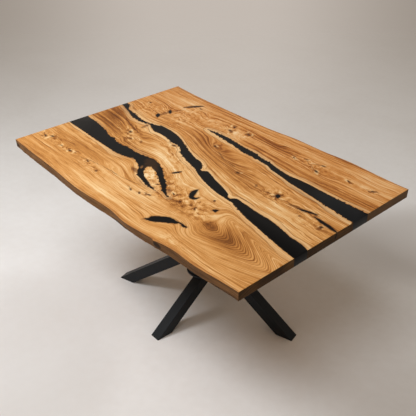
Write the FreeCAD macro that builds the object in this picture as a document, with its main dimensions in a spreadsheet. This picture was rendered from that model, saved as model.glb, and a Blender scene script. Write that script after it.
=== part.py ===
import FreeCAD, Part
import os
import re
import Sketcher
from FreeCAD import Placement, Rotation, Vector

# Dining table: a live-edge hardwood top cast together with black resin, on a welded steel tube base.
# Millimetres, +X along the top, +Y from the front live edge to the back one, +Z up from the floor.
# The origin is on the floor, under the middle of the top.

doc = FreeCAD.newDocument("resin_table")
sheet = doc.addObject("Spreadsheet::Sheet", "sizes")

SIZES = [
    # the top
    ("top_length", 1400),
    ("top_width", 976),
    ("table_height", 760),
    ("top_thickness", 35),
    ("edge_undercut", 8),
    ("knot_depth", 12),
    # the tubes of the base: legs slope down to the floor, arms slope up to the top
    ("tube_size", 50),
    ("tube_wall", 3),
    ("tube_corner", 2.5),
    ("base_shift", 25),
    ("long_leg_inset", 281),
    ("short_leg_inset", 218),
    ("long_leg_angle", 14.7),
    ("short_leg_angle", -90.8),
    ("long_leg_weld_height", 334.5),
    ("short_leg_weld_reach", 7),
    ("long_arm_inset", 270),
    ("short_arm_inset", 143),
    ("long_arm_weld_height", 349.7),
    ("short_arm_weld_reach", 9),
    # the hub that the tubes are welded to
    ("hub_diameter", 139.7),
    ("hub_wall", 6),
    ("hub_plate_diameter", 150),
    ("hub_plate_thickness", 8),
    ("hub_bottom", 210),
    ("hub_top", 470),
    # the plates that carry the top, and their bolts
    ("plate_length", 90),
    ("plate_width", 160),
    ("plate_thickness", 8),
    ("plate_corner", 10),
    ("slot_width", 9),
    ("slot_length", 16),
    ("bolt_spread", 58),
    ("bolt_diameter", 8),
    ("bolt_length", 25),
    ("bolt_head_diameter", 20),
    ("bolt_crown_diameter", 11),
    ("bolt_head_height", 4.6),
    ("insert_diameter", 12),
    ("insert_length", 18),
    ("hole_spare", 2),
    # the channels let into the underside to keep the top flat
    ("channel_width", 40),
    ("channel_depth", 15),
    ("channel_wall", 3),
    ("channel_end_inset", 140),
    ("channel_edge_inset", 118),
    ("channel_slack", 0.5),
    ("screw_slot_length", 12),
    ("screw_slot_width", 7),
    ("screw_diameter", 6),
    ("screw_length", 25),
    ("screw_head_diameter", 12),
    ("screw_crown_diameter", 6),
    ("screw_head_height", 3.3),
    # the feet and their levelling screws
    ("foot_plate_thickness", 12),
    ("leveller_pocket_depth", 5),
    ("leveller_pocket_diameter", 25),
    ("leveller_pad_diameter", 23),
    ("leveller_pad_height", 4.2),
    ("leveller_stem_diameter", 8),
    ("leveller_stem_length", 16),
    ("leveller_lift", 0.5),
    ("edge_break", 1),
    # clearances
    ("thread_clearance", 0.05),
    ("cut_overrun", 5),
]
for row, (alias, number) in enumerate(SIZES, start=1):
    sheet.set(f"A{row}", alias)
    sheet.set(f"B{row}", str(number))
    sheet.setAlias(f"B{row}", alias)
doc.recompute()
ALIASES = {alias for alias, _ in SIZES}

# Outlines seen from above, as shares of half the top's length and half its width.
# The third share of a live edge says how much of the undercut its lower edge has there.
FRONT_LEFT_SHARES = [
    (-1.0, -0.900, 0.2), (-0.71, -0.930, 0.0), (-0.46, -0.952, 0.1), (-0.26, -0.979, 0.3),
    (-0.13, -0.980, 0.2), (0.02, -0.973, 0.0), (0.10, -0.978, 0.4), (0.20, -0.999, 1.0),
    (0.31, -0.998, 0.8), (0.434, -0.984, 0.5),
]
FRONT_RIGHT_SHARES = [
    (0.442, -0.994, 1.0), (0.51, -0.974, 0.3), (0.59, -0.967, 0.0), (0.72, -0.977, 0.4),
    (0.86, -0.966, 0.3), (1.0, -0.957, 0.0),
]
BACK_SHARES = [
    (1.0, 0.905, 0.4), (0.78, 0.917, 0.3), (0.58, 0.938, 0.7), (0.40, 0.930, 0.5),
    (0.18, 0.942, 0.8), (0.0, 0.926, 0.4), (-0.25, 0.932, 0.6), (-0.60, 0.950, 0.3),
    (-0.85, 0.973, 0.4), (-1.0, 1.0, 0.3),
]
MIDDLE_NEAR_SHARES = [
    (-1.01, 0.278), (-0.921, 0.239), (-0.866, 0.213), (-0.749, 0.159), (-0.64, 0.164),
    (-0.607, 0.177), (-0.585, 0.163), (-0.55, 0.139), (-0.50, 0.114), (-0.416, 0.120),
    (-0.32, 0.084), (-0.258, 0.086), (-0.166, 0.006), (-0.044, -0.055), (0.044, -0.09),
    (0.117, -0.141), (0.157, -0.162), (0.259, -0.206), (0.351, -0.230), (0.424, -0.238),
    (0.463, -0.242), (0.553, -0.293), (0.675, -0.338), (0.780, -0.375), (0.894, -0.411),
    (1.01, -0.441),
]
MIDDLE_FAR_SHARES = [
    (-1.01, 0.328), (-0.960, 0.315), (-0.929, 0.283), (-0.914, 0.255), (-0.897, 0.242),
    (-0.843, 0.230), (-0.794, 0.219), (-0.743, 0.197), (-0.68, 0.183), (-0.608, 0.195),
    (-0.529, 0.235), (-0.405, 0.223), (-0.248, 0.147), (-0.148, 0.082), (-0.040, 0.028),
    (0.034, -0.002), (0.066, -0.061), (0.083, -0.077), (0.099, -0.076), (0.107, -0.055),
    (0.126, -0.051), (0.160, -0.068), (0.216, -0.102), (0.282, -0.128), (0.349, -0.163),
    (0.374, -0.180), (0.393, -0.207), (0.410, -0.217), (0.426, -0.203), (0.434, -0.185),
    (0.454, -0.180), (0.520, -0.191), (0.588, -0.206), (0.635, -0.210), (0.677, -0.211),
    (0.777, -0.235), (0.874, -0.274), (0.936, -0.279), (1.01, -0.313),
]
LEFT_NEAR_SHARES = [
    (-1.01, -0.338), (-0.890, -0.349), (-0.751, -0.363), (-0.561, -0.383), (-0.44, -0.393),
    (-0.36, -0.378), (-0.30, -0.348), (-0.24, -0.372), (-0.19, -0.410), (-0.16, -0.455),
    (-0.124, -0.500), (-0.062, -0.523), (-0.01, -0.546), (0.080, -0.556),
]
PENINSULA_SHARES = [
    (0.080, -0.556), (-0.019, -0.513), (-0.07, -0.485), (-0.12, -0.442), (-0.15, -0.400),
    (-0.160, -0.360), (-0.138, -0.333), (-0.058, -0.374), (0.002, -0.424), (0.065, -0.474),
    (0.118, -0.523), (0.180, -0.546),
]
LEFT_FAR_SHARES = [
    (0.180, -0.546), (0.133, -0.506), (0.079, -0.437), (-0.007, -0.365), (-0.081, -0.295),
    (-0.141, -0.259), (-0.214, -0.231), (-0.340, -0.266), (-0.443, -0.259), (-0.529, -0.270),
    (-0.599, -0.239), (-0.643, -0.242), (-0.703, -0.214), (-0.773, -0.188), (-0.872, -0.161),
    (-1.01, -0.138),
]
RIGHT_NEAR_SHARES = [
    (-0.30, 0.502), (-0.20, 0.481), (-0.058, 0.450), (-0.002, 0.437), (0.085, 0.406),
    (0.171, 0.405), (0.228, 0.398), (0.287, 0.388), (0.344, 0.355), (0.429, 0.332),
    (0.513, 0.303), (0.657, 0.274), (0.80, 0.241), (1.01, 0.197),
]
RIGHT_FAR_SHARES = [
    (1.01, 0.373), (0.80, 0.375), (0.657, 0.385), (0.57, 0.392), (0.52, 0.391),
    (0.47, 0.383), (0.429, 0.388), (0.35, 0.410), (0.271, 0.441), (0.20, 0.445),
    (0.157, 0.465), (0.071, 0.477), (-0.029, 0.492), (-0.143, 0.512), (-0.257, 0.506),
    (-0.30, 0.502),
]
FRONT_VOID_SHARES = [
    [
        (0.260, -0.873), (0.271, -0.850), (0.279, -0.832), (0.274, -0.822), (0.271, -0.807), (0.294, -0.775),
        (0.323, -0.740), (0.353, -0.718), (0.389, -0.719), (0.429, -0.709), (0.471, -0.715),
    ],
    [
        (0.471, -0.715), (0.451, -0.727), (0.433, -0.719), (0.417, -0.719), (0.406, -0.740), (0.374, -0.773),
        (0.343, -0.805), (0.311, -0.844), (0.281, -0.861), (0.270, -0.863), (0.260, -0.873),
    ],
]
HOOK_VOID_SHARES = [
    [(0.231, -0.301), (0.225, -0.352), (0.250, -0.412), (0.279, -0.431), (0.296, -0.375)],
    [(0.296, -0.375), (0.281, -0.404), (0.266, -0.391), (0.255, -0.360), (0.231, -0.301)],
]
# Knots and cracks: where each starts and ends, and its width as a share of half the top's width.
# Their sides have two corners each: shares of the length, and of half the width, first on the left.
CRACK_SIDE_SHARES = [(0.62, 1.0), (0.25, 0.8), (0.34, -1.0), (0.80, -0.6)]
KNOT_SHARES = [
    ((-0.710, 0.397), (-0.664, 0.332), 0.034),
    ((-0.700, 0.532), (-0.653, 0.476), 0.026),
    ((-0.665, 0.670), (-0.597, 0.832), 0.020),
    ((-0.006, -0.283), (0.018, -0.213), 0.017),
    ((0.443, -0.432), (0.460, -0.390), 0.030),
    ((0.560, 0.100), (0.584, 0.056), 0.034),
    ((0.720, 0.052), (0.832, 0.092), 0.018),
    ((0.832, 0.056), (1.010, 0.010), 0.026),
]
# The wood in front of the middle river and behind it reaches past the top on every side.
REGION_REACH_SHARE = 1.1
# Two unit directions are parallel where their cross product is shorter than this.
PARALLEL_TOLERANCE_SHARE = 1e-6
# Screws along each channel, as shares of half its length.
SCREW_SHARES = [-0.82, -0.06, 0.78]


def bound(formula):
    """A formula in the names of sizes, as an expression on the sheet's cells."""
    return re.sub("[a-z_]+", lambda word: f"sizes.{word[0]}" if word[0] in ALIASES else word[0], formula)


def size(formula):
    """The value that a formula in the names of sizes has."""
    return float(sheet.evalExpression(bound(formula)))


def new_object(kind, label, **formulas):
    """A document object whose properties follow formulas."""
    item = doc.addObject(kind, label)
    item.Label = label
    for name, formula in formulas.items():
        item.setExpression(name, bound(formula))
    return item


def combine(kind, label, base, tool):
    """A cut or common of two objects."""
    item = new_object(kind, label)
    item.Base = base
    item.Tool = tool
    return item


def new_sketch(body, role, name):
    """A sketch on one of a body's own origin planes."""
    sketch = body.newObject("Sketcher::SketchObject", f"{body.Name}_{name}")
    plane = next(feature for feature in body.Origin.OriginFeatures if feature.Role == role)
    sketch.AttachmentSupport = (plane, [""])
    sketch.MapMode = "FlatFace"
    return sketch


def hold_point(sketch, edge, point, x, y):
    """Ties a sketch point to formulas for its place."""
    for kind, axis, formula in (("DistanceX", -2, x), ("DistanceY", -1, y)):
        if formula == "0":
            sketch.addConstraint(Sketcher.Constraint("PointOnObject", edge, point, axis))
        else:
            constraint = Sketcher.Constraint(kind, -1, 1, edge, point, size(formula))
            index = sketch.addConstraint(constraint)
            sketch.setExpression(f"Constraints[{index}]", bound(formula))


def draw_polygon(sketch, corners):
    """A closed run of lines through corners that are pairs of formulas."""
    points = [Vector(size(x), size(y), 0) for x, y in corners]
    edges = [
        sketch.addGeometry(Part.LineSegment(start, end), False)
        for start, end in zip(points, points[1:] + points[:1])
    ]
    for edge, following in zip(edges, edges[1:] + edges[:1]):
        sketch.addConstraint(Sketcher.Constraint("Coincident", edge, 2, following, 1))
    for edge, (x, y) in zip(edges, corners):
        hold_point(sketch, edge, 1, x, y)


def draw_circle(sketch, x, y, diameter):
    """A circle whose centre and diameter are formulas."""
    centre = Vector(size(x), size(y), 0)
    edge = sketch.addGeometry(Part.Circle(centre, Vector(0, 0, 1), size(diameter) / 2), False)
    hold_point(sketch, edge, 3, x, y)
    index = sketch.addConstraint(Sketcher.Constraint("Diameter", edge, size(diameter)))
    sketch.setExpression(f"Constraints[{index}]", bound(diameter))


def draw_slot(sketch, x, y, length, width, along):
    """A round-ended slot about a centre, along the sketch's X or Y."""
    reach = f"(({length}) - ({width})) / 2"
    if along == "X":
        ends = [(f"({x}) - {reach}", y), (f"({x}) + {reach}", y)]
    else:
        ends = [(x, f"({y}) - {reach}"), (x, f"({y}) + {reach}")]
    near, far = [Vector(size(a), size(b), 0) for a, b in ends]
    out = (far - near).normalize() * size(width) / 2
    side = Vector(0, 0, 1).cross(out)
    edges = [
        sketch.addGeometry(Part.Arc(near + side, near - out, near - side), False),
        sketch.addGeometry(Part.LineSegment(near - side, far - side), False),
        sketch.addGeometry(Part.Arc(far - side, far + out, far + side), False),
        sketch.addGeometry(Part.LineSegment(far + side, near + side), False),
    ]
    for edge, following in zip(edges, edges[1:] + edges[:1]):
        sketch.addConstraint(Sketcher.Constraint("Tangent", edge, 2, following, 1))
    sketch.addConstraint(Sketcher.Constraint("Equal", edges[0], edges[2]))
    hold_point(sketch, edges[0], 3, *ends[0])
    hold_point(sketch, edges[2], 3, *ends[1])
    index = sketch.addConstraint(Sketcher.Constraint("Radius", edges[0], out.Length))
    sketch.setExpression(f"Constraints[{index}]", bound(f"({width}) / 2"))


def pad(body, sketch, length, symmetric=False):
    """Extrudes a sketch by a formula's length, up from its plane or to both sides of it."""
    feature = body.newObject("PartDesign::Pad", f"{sketch.Name}_pad")
    feature.Profile = sketch
    feature.setExpression("Length", bound(length))
    feature.SideType = "Symmetric" if symmetric else "One side"
    doc.recompute()
    return feature


def pocket(body, sketch, length, symmetric=False):
    """Cuts a sketch away by a formula's length, up from its plane or to both sides of it."""
    before = body.Shape.Volume
    feature = body.newObject("PartDesign::Pocket", f"{sketch.Name}_pocket")
    feature.Profile = sketch
    feature.setExpression("Length", bound(length))
    feature.SideType = "Symmetric" if symmetric else "One side"
    feature.Reversed = not symmetric
    doc.recompute()
    if not body.Shape.Volume < before:
        raise RuntimeError(f"{feature.Name} cuts nothing")
    return feature


def ease_edges(body, feature, kind, width, along):
    """Rounds or chamfers the edges of a feature that run along a direction."""
    names = []
    for count, edge in enumerate(feature.Shape.Edges, start=1):
        if edge.tangentAt(edge.FirstParameter).cross(along).Length < PARALLEL_TOLERANCE_SHARE:
            names.append(f"Edge{count}")
    eased = body.newObject(f"PartDesign::{kind}", f"{body.Name}_eased")
    eased.Base = (feature, names)
    eased.setExpression("Radius" if kind == "Fillet" else "Size", bound(width))
    doc.recompute()


def turned(label, corners):
    """A body revolved about Z from corners given as formulas for radius and height."""
    body = new_object("PartDesign::Body", label)
    sketch = new_sketch(body, "XZ_Plane", "profile")
    draw_polygon(sketch, corners)
    feature = body.newObject("PartDesign::Revolution", f"{label}_turn")
    feature.Profile = sketch
    feature.ReferenceAxis = (sketch, ["V_Axis"])
    doc.recompute()
    return body


def group(label, pattern, places, height):
    """One object that holds a copy of a shape at each place, raised by a height."""
    item = new_object("Part::Feature", label)
    raised = Placement(Vector(0, 0, size(height)), Rotation())
    copies = []
    for place in places:
        copy = pattern.Shape.copy()
        copy.Placement = place * raised
        copies.append(copy)
    item.Shape = Part.makeCompound(copies)
    return item


def on_top(share_x, share_y):
    """A point of the plan from its shares of half the top's length and half its width."""
    return Vector(share_x * size("top_length") / 2, share_y * size("top_width") / 2, 0)


def smooth(points):
    """One smooth edge through points."""
    curve = Part.BSplineCurve()
    curve.interpolate(points)
    return curve.toShape()


def straight(start, end):
    return Part.LineSegment(start, end).toShape()


def ragged(points):
    """Arcs through every three points, with a straight last stretch where only two are left."""
    edges = []
    for first in range(0, len(points) - 1, 2):
        stretch = points[first:first + 3]
        if len(stretch) == 3:
            edges.append(Part.Arc(*stretch).toShape())
        else:
            edges.append(straight(*stretch))
    return edges


def plan_prism(label, edges, low, height):
    """A solid over a closed outline of the plan, from one height up by another."""
    outline = new_object("Part::Feature", f"{label}_outline")
    outline.Shape = Part.Face(Part.Wire(edges))
    outline.Placement = Placement(Vector(0, 0, size(low)), Rotation())
    solid = new_object("Part::Extrusion", f"{label}_prism", LengthFwd=height)
    solid.Base = outline
    solid.DirMode = "Custom"
    solid.Dir = Vector(0, 0, 1)
    solid.Solid = True
    return solid


def live_edge_blank():
    """The whole top before the resin is let in: sawn ends, and live edges that lean in below."""
    sections = []
    for label, depth_share in (("upper", 0), ("lower", 1)):
        runs = []
        for shares, inward in ((FRONT_LEFT_SHARES, 1), (FRONT_RIGHT_SHARES, 1), (BACK_SHARES, -1)):
            lean = inward * depth_share * size("edge_undercut")
            runs.append([on_top(x, y) + Vector(0, lean * under, 0) for x, y, under in shares])
        edges = []
        for run, following in zip(runs, runs[1:] + runs[:1]):
            edges.append(smooth(run))
            edges.append(straight(run[-1], following[0]))
        outline = new_object("Part::Feature", f"{label}_outline")
        outline.Shape = Part.Wire(edges)
        height = size("table_height") - depth_share * size("top_thickness")
        outline.Placement = Placement(Vector(0, 0, height), Rotation())
        sections.append(outline)
    blank = new_object("Part::Loft", "top_blank")
    blank.Sections = sections
    blank.Solid = True
    blank.Ruled = True
    return blank


def river_edges(*banks):
    """The closed outline of a river from its banks in turn, with a straight end where they part."""
    runs = [[on_top(x, y) for x, y in bank] for bank in banks]
    edges = []
    for run, following in zip(runs, runs[1:] + runs[:1]):
        edges += ragged(run)
        if run[-1] != following[0]:
            edges.append(straight(run[-1], following[0]))
    return edges


def wood_edges(bank, side):
    """The plan on one side of a bank of the middle river, past the top's own outline."""
    run = [on_top(x, y) for x, y in bank]
    reach = REGION_REACH_SHARE
    corners = [run[-1], on_top(reach, bank[-1][1]), on_top(reach, side * reach)]
    corners += [on_top(-reach, side * reach), on_top(-reach, bank[0][1]), run[0]]
    return ragged(run) + [straight(start, end) for start, end in zip(corners, corners[1:])]


def crack_edges(start, end, width):
    """A filled knot or crack, pointed at both ends."""
    first, last = on_top(*start), on_top(*end)
    across = Vector(0, 0, 1).cross((last - first).normalize()) * width * size("top_width") / 4
    sides = [first + (last - first) * along + across * out for along, out in CRACK_SIDE_SHARES]
    corners = [last, sides[0], sides[1], first, sides[2], sides[3]]
    return [straight(near, far) for near, far in zip(corners, corners[1:] + corners[:1])]


def on_tube(turn, reach, height):
    """A frame over a tube's middle line, that far out from the hub and that high."""
    hub = Placement(Vector(0, size("base_shift"), height), Rotation(Vector(0, 0, 1), turn))
    return hub.multiply(Placement(Vector(reach, size("tube_size") / 2, 0), Rotation()))


def tube_corners(run, slope, inset, overrun, hub_end):
    """The side outline of a tube: distances out from the hub, and heights from its outer end.

    The tube ends level at both ends where hub_end is the height of a plate that it is welded to,
    and stands up to the hub's axis where there is none.
    """
    half = f"(tube_size / 2 - {inset}) / sin({slope})"
    low = "0" if overrun == "0" else f"-{overrun}"
    corners = [(f"{run} {sign} {half} + {overrun} / tan({slope})", low) for sign in "-+"]
    for sign in "+-":
        if hub_end:
            end = f"({hub_end} + {overrun})"
            corners.append((f"{run} {sign} {half} - {end} / tan({slope})", end))
        else:
            corners.append((low, f"({run} {sign} {half} + {overrun}) * tan({slope})"))
    return corners


def tube(label, run, slope, hub_end):
    """A hollow square tube that slopes up from its level outer end to the hub."""
    body = new_object("PartDesign::Body", label)
    side = new_sketch(body, "XZ_Plane", "side")
    draw_polygon(side, tube_corners(run, slope, "0", "0", hub_end))
    wall = pad(body, side, "tube_size", symmetric=True)
    lean = Rotation(Vector(0, 1, 0), size(slope)).multVec(Vector(1, 0, 0))
    ease_edges(body, wall, "Fillet", "tube_corner", lean)
    bore = new_sketch(body, "XZ_Plane", "bore")
    draw_polygon(bore, tube_corners(run, slope, "tube_wall", "cut_overrun", hub_end))
    pocket(body, bore, "tube_size - 2 * tube_wall", symmetric=True)
    return body


def channel(label, slack):
    """A U section along Y with its web down, grown all round but at the web by a slack."""
    body = new_object("PartDesign::Body", label)
    section = new_sketch(body, "XZ_Plane", "section")
    outer = f"(channel_width / 2 + {slack})"
    inner = f"(channel_width / 2 - channel_wall - {slack})"
    tip = f"(channel_depth + {slack})"
    corners = [(f"-{outer}", "0"), (outer, "0"), (outer, tip), (inner, tip)]
    corners += [(inner, "channel_wall"), (f"-{inner}", "channel_wall")]
    corners += [(f"-{inner}", tip), (f"-{outer}", tip)]
    draw_polygon(section, corners)
    pad(body, section, f"top_width - 2 * channel_edge_inset + 2 * {slack}", symmetric=True)
    return body


def screw(kind):
    """A screw or bolt pointing up, with its wide button head under the origin."""
    radius, head_radius, crown_radius = [f"{kind}_{part}diameter / 2" for part in ("", "head_", "crown_")]
    crown, tip = f"-{kind}_head_height", f"{kind}_length"
    head = [("0", crown), (crown_radius, crown), (head_radius, "0")]
    return turned(f"one_{kind}", head + [(radius, "0"), (radius, tip), ("0", tip)])


def ring(label, bore, diameter, length):
    """A sleeve that stands on the origin."""
    inner, outer = f"({bore}) / 2", f"({diameter}) / 2"
    return turned(label, [(inner, "0"), (outer, "0"), (outer, length), (inner, length)])


UNDERSIDE = "table_height - top_thickness"
SEAT = "(table_height - top_thickness - plate_thickness)"
CUT_LOW = "table_height - top_thickness - cut_overrun"
CUT_HEIGHT = "top_thickness + 2 * cut_overrun"
LEVELLER_TOP = "leveller_pad_height + leveller_stem_length"

# How far out from the hub the tubes' outer ends are, and how steep the tubes are.
RUNS = {
    "long_leg": "(top_length / 2 - long_leg_inset)",
    "short_leg": "(top_width / 2 - short_leg_inset)",
    "long_arm": "(top_length / 2 - long_arm_inset)",
    "short_arm": "(top_width / 2 - short_arm_inset)",
}
SLOPES = {
    "long_leg": f"atan(long_leg_weld_height / {RUNS['long_leg']})",
    "short_leg": f"atan(hub_bottom / ({RUNS['short_leg']} - short_leg_weld_reach))",
    "long_arm": f"atan(({SEAT} - long_arm_weld_height) / {RUNS['long_arm']})",
    "short_arm": f"atan(({SEAT} - hub_top) / ({RUNS['short_arm']} - short_arm_weld_reach))",
}
# Where the tubes go: the side, which pair it belongs to, and its turn from the pair's first one.
LEGS = [("right", "long", 0), ("left", "long", 180), ("front", "short", 0), ("back", "short", 180)]
ARMS = [("right", "long", 0), ("left", "long", 180), ("front", "short", -90), ("back", "short", 90)]

# The hub: a pipe between two round plates
hub_place = Placement(Vector(0, size("base_shift"), 0), Rotation())
hub_core = new_object("Part::Cylinder", "hub_core", Radius="hub_diameter / 2", Height="table_height")
hub_core.Placement = hub_place
hub_low, hub_high = size("hub_bottom"), size("hub_top - hub_plate_thickness")
hub_pipe = ring("hub_pipe", "hub_diameter - 2 * hub_wall", "hub_diameter",
                "hub_top - hub_bottom - 2 * hub_plate_thickness")
hub_pipe.Placement = Placement(Vector(0, 0, size("hub_bottom + hub_plate_thickness")), Rotation()) * hub_place
hub_solids = [hub_core]
for label, height in (("hub_base_plate", hub_low), ("hub_top_plate", hub_high)):
    plate = new_object("Part::Cylinder", label, Radius="hub_plate_diameter / 2", Height="hub_plate_thickness")
    plate.Placement = Placement(Vector(0, 0, height), Rotation()) * hub_place
    hub_solids.append(plate)
hub = new_object("Part::MultiFuse", "hub")
hub.Shapes = hub_solids
nodes = ["hub_pipe", "hub_base_plate", "hub_top_plate"]

# Legs, with a plate welded into each foot and a levelling screw in the plate
for side, pair, turn in LEGS:
    run, slope = RUNS[f"{pair}_leg"], SLOPES[f"{pair}_leg"]
    leg_turn = size(f"{pair}_leg_angle") + turn
    label = f"{side}_leg"
    if pair == "short":
        leg = tube(label, run, slope, "hub_bottom")
    else:
        leg = tube(f"{label}_blank", run, slope, None)
        combine("Part::Cut", label, leg, hub)
    leg.Placement = on_tube(leg_turn, 0, 0)

    foot = new_object("PartDesign::Body", f"{side}_foot_plate")
    profile = new_sketch(foot, "XZ_Plane", "profile")
    draw_polygon(profile, tube_corners(run, slope, "tube_wall", "0", "foot_plate_thickness"))
    pad(foot, profile, "tube_size - 2 * tube_wall", symmetric=True)
    recess = new_sketch(foot, "XY_Plane", "recess")
    draw_circle(recess, run, "0", "leveller_pocket_diameter")
    pocket(foot, recess, "leveller_pocket_depth")
    thread = new_sketch(foot, "XY_Plane", "thread")
    draw_circle(thread, run, "0", "leveller_stem_diameter + 2 * thread_clearance")
    pocket(foot, thread, "foot_plate_thickness")
    foot.Placement = on_tube(leg_turn, 0, 0)

    pad_radius, stem_radius = "leveller_pad_diameter / 2", "leveller_stem_diameter / 2"
    leveller = turned(f"{side}_leveller", [
        ("0", "0"), (f"{pad_radius} - edge_break", "0"), (pad_radius, "edge_break"),
        (pad_radius, "leveller_pad_height"), (stem_radius, "leveller_pad_height"),
        (stem_radius, LEVELLER_TOP), ("0", LEVELLER_TOP),
    ])
    leveller.Placement = on_tube(leg_turn, size(run), size("leveller_lift"))
    nodes += [label, foot.Label, leveller.Label]

# Arms, each with a slotted plate under the top
bolt_places = []
for side, pair, turn in ARMS:
    run, slope = RUNS[f"{pair}_arm"], SLOPES[f"{pair}_arm"]
    label = f"{side}_arm"
    upside_down = Placement(Vector(0, 0, size(SEAT)), Rotation(Vector(1, 0, 0), 180))
    if pair == "short":
        arm = tube(label, run, slope, f"{SEAT} - hub_top")
    else:
        arm = tube(f"{label}_blank", run, slope, None)
        combine("Part::Cut", label, arm, hub)
    arm.Placement = on_tube(turn, 0, 0) * upside_down

    plate = new_object("PartDesign::Body", f"{side}_mounting_plate")
    outline = new_sketch(plate, "XY_Plane", "outline")
    reach, spread = "plate_length / 2", "plate_width / 2"
    near_corners = [(f"-{reach}", f"-{spread}"), (reach, f"-{spread}")]
    draw_polygon(outline, near_corners + [(reach, spread), (f"-{reach}", spread)])
    blank = pad(plate, outline, "plate_thickness")
    ease_edges(plate, blank, "Chamfer", "plate_corner", Vector(0, 0, 1))
    slots = new_sketch(plate, "XY_Plane", "slots")
    end = on_tube(turn, size(run), size(SEAT))
    for beside in ("bolt_spread", "-bolt_spread"):
        draw_slot(slots, "0", beside, "slot_length", "slot_width", "Y" if pair == "long" else "X")
        bolt_places.append(end * Placement(Vector(0, size(beside), 0), Rotation()))
    pocket(plate, slots, "plate_thickness")
    plate.Placement = end
    nodes += [label, plate.Label]

# Bolts and threaded inserts, one of each on both sides of every arm
bolt = screw("bolt")
insert = ring("insert", "bolt_diameter + 2 * thread_clearance", "insert_diameter", "insert_length")
insert_hole = new_object("Part::Cylinder", "insert_hole", Radius="insert_diameter / 2 + thread_clearance",
                         Height="insert_length + hole_spare")
doc.recompute()
group("mounting_bolts", bolt, bolt_places, "0")
group("mounting_inserts", insert, bolt_places, "plate_thickness")
insert_holes = group("insert_holes", insert_hole, bolt_places, "plate_thickness")
nodes += ["mounting_bolts", "mounting_inserts"]

# Channels let into the underside, with slots that let the wood move across its grain
screw_places = []
recesses = []
for side, sign in (("left", -1), ("right", 1)):
    reach = sign * size("top_length / 2 - channel_end_inset")
    place = Placement(Vector(reach, 0, size(UNDERSIDE)), Rotation())
    stiffener = channel(f"{side}_stiffener", "0")
    slots = new_sketch(stiffener, "XY_Plane", "slots")
    for share in SCREW_SHARES:
        middle = f"{share} * (top_width / 2 - channel_edge_inset)"
        draw_slot(slots, "0", middle, "screw_slot_length", "screw_slot_width", "Y")
        screw_places.append(place * Placement(Vector(0, size(middle), 0), Rotation()))
    pocket(stiffener, slots, "channel_wall")
    stiffener.Placement = place
    recess = channel(f"{side}_recess", "channel_slack")
    recess.Placement = place
    recesses.append(recess)
    nodes.append(stiffener.Label)
wood_screw = screw("screw")
screw_hole = new_object("Part::Cylinder", "screw_hole", Radius="screw_diameter / 2 + thread_clearance",
                        Height="screw_length - channel_wall + hole_spare")
doc.recompute()
group("stiffener_screws", wood_screw, screw_places, "0")
screw_holes = group("screw_holes", screw_hole, screw_places, "channel_wall")
nodes.append("stiffener_screws")

# The top: resin let into the wood, and everything that is let into both from below
fixing_cuts = new_object("Part::MultiFuse", "fixing_cuts")
fixing_cuts.Shapes = [insert_holes, screw_holes] + recesses
top_blank = live_edge_blank()
river_outlines = {
    "left_river": river_edges(LEFT_NEAR_SHARES, PENINSULA_SHARES, LEFT_FAR_SHARES),
    "middle_river": river_edges(MIDDLE_NEAR_SHARES, MIDDLE_FAR_SHARES[::-1]),
    "right_river": river_edges(RIGHT_NEAR_SHARES, RIGHT_FAR_SHARES),
    "front_void_fill": river_edges(*FRONT_VOID_SHARES),
    "hook_void_fill": river_edges(*HOOK_VOID_SHARES),
}
resin_prisms = []
for label, edges in river_outlines.items():
    prism = plan_prism(label, edges, CUT_LOW, CUT_HEIGHT)
    cast = combine("Part::Common", f"{label}_cast", top_blank, prism)
    combine("Part::Cut", label, cast, fixing_cuts)
    resin_prisms.append(prism)
    nodes.append(label)
knot_prisms = [
    plan_prism(f"knot_{count}", crack_edges(*knot), "table_height - knot_depth", "knot_depth + cut_overrun")
    for count, knot in enumerate(KNOT_SHARES, start=1)
]
knots = new_object("Part::Compound", "knots")
knots.Links = knot_prisms
combine("Part::Common", "knot_fills", knots, top_blank)
resin = new_object("Part::Compound", "resin")
resin.Links = resin_prisms + knot_prisms
for label, bank, side in (("front_slab", MIDDLE_NEAR_SHARES, -1), ("back_slab", MIDDLE_FAR_SHARES, 1)):
    region = plan_prism(label, wood_edges(bank, side), CUT_LOW, CUT_HEIGHT)
    wood = combine("Part::Common", f"{label}_wood", top_blank, region)
    carved = combine("Part::Cut", f"{label}_carved", wood, resin)
    combine("Part::Cut", label, carved, fixing_cuts)
    nodes.append(label)
nodes.append("knot_fills")
doc.recompute()

for item in doc.Objects:
    if {"Invalid", "Error"} & set(item.State):
        raise RuntimeError(f"{item.Label} failed: {item.State}")
groups = {"mounting_bolts", "mounting_inserts", "stiffener_screws", "knot_fills"}
shapes = {}
for label in nodes:
    shape = doc.getObjectsByLabel(label)[0].Shape
    if shape.isNull() or not shape.isValid():
        raise RuntimeError(f"{label} has no valid shape")
    if label not in groups and len(shape.Solids) != 1:
        raise RuntimeError(f"{label} has {len(shape.Solids)} solids")
    shapes[label] = shape
os.makedirs("parts", exist_ok=True)
for label, shape in shapes.items():
    shape.exportStep(f"parts/{label}.step")
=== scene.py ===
import math

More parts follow.
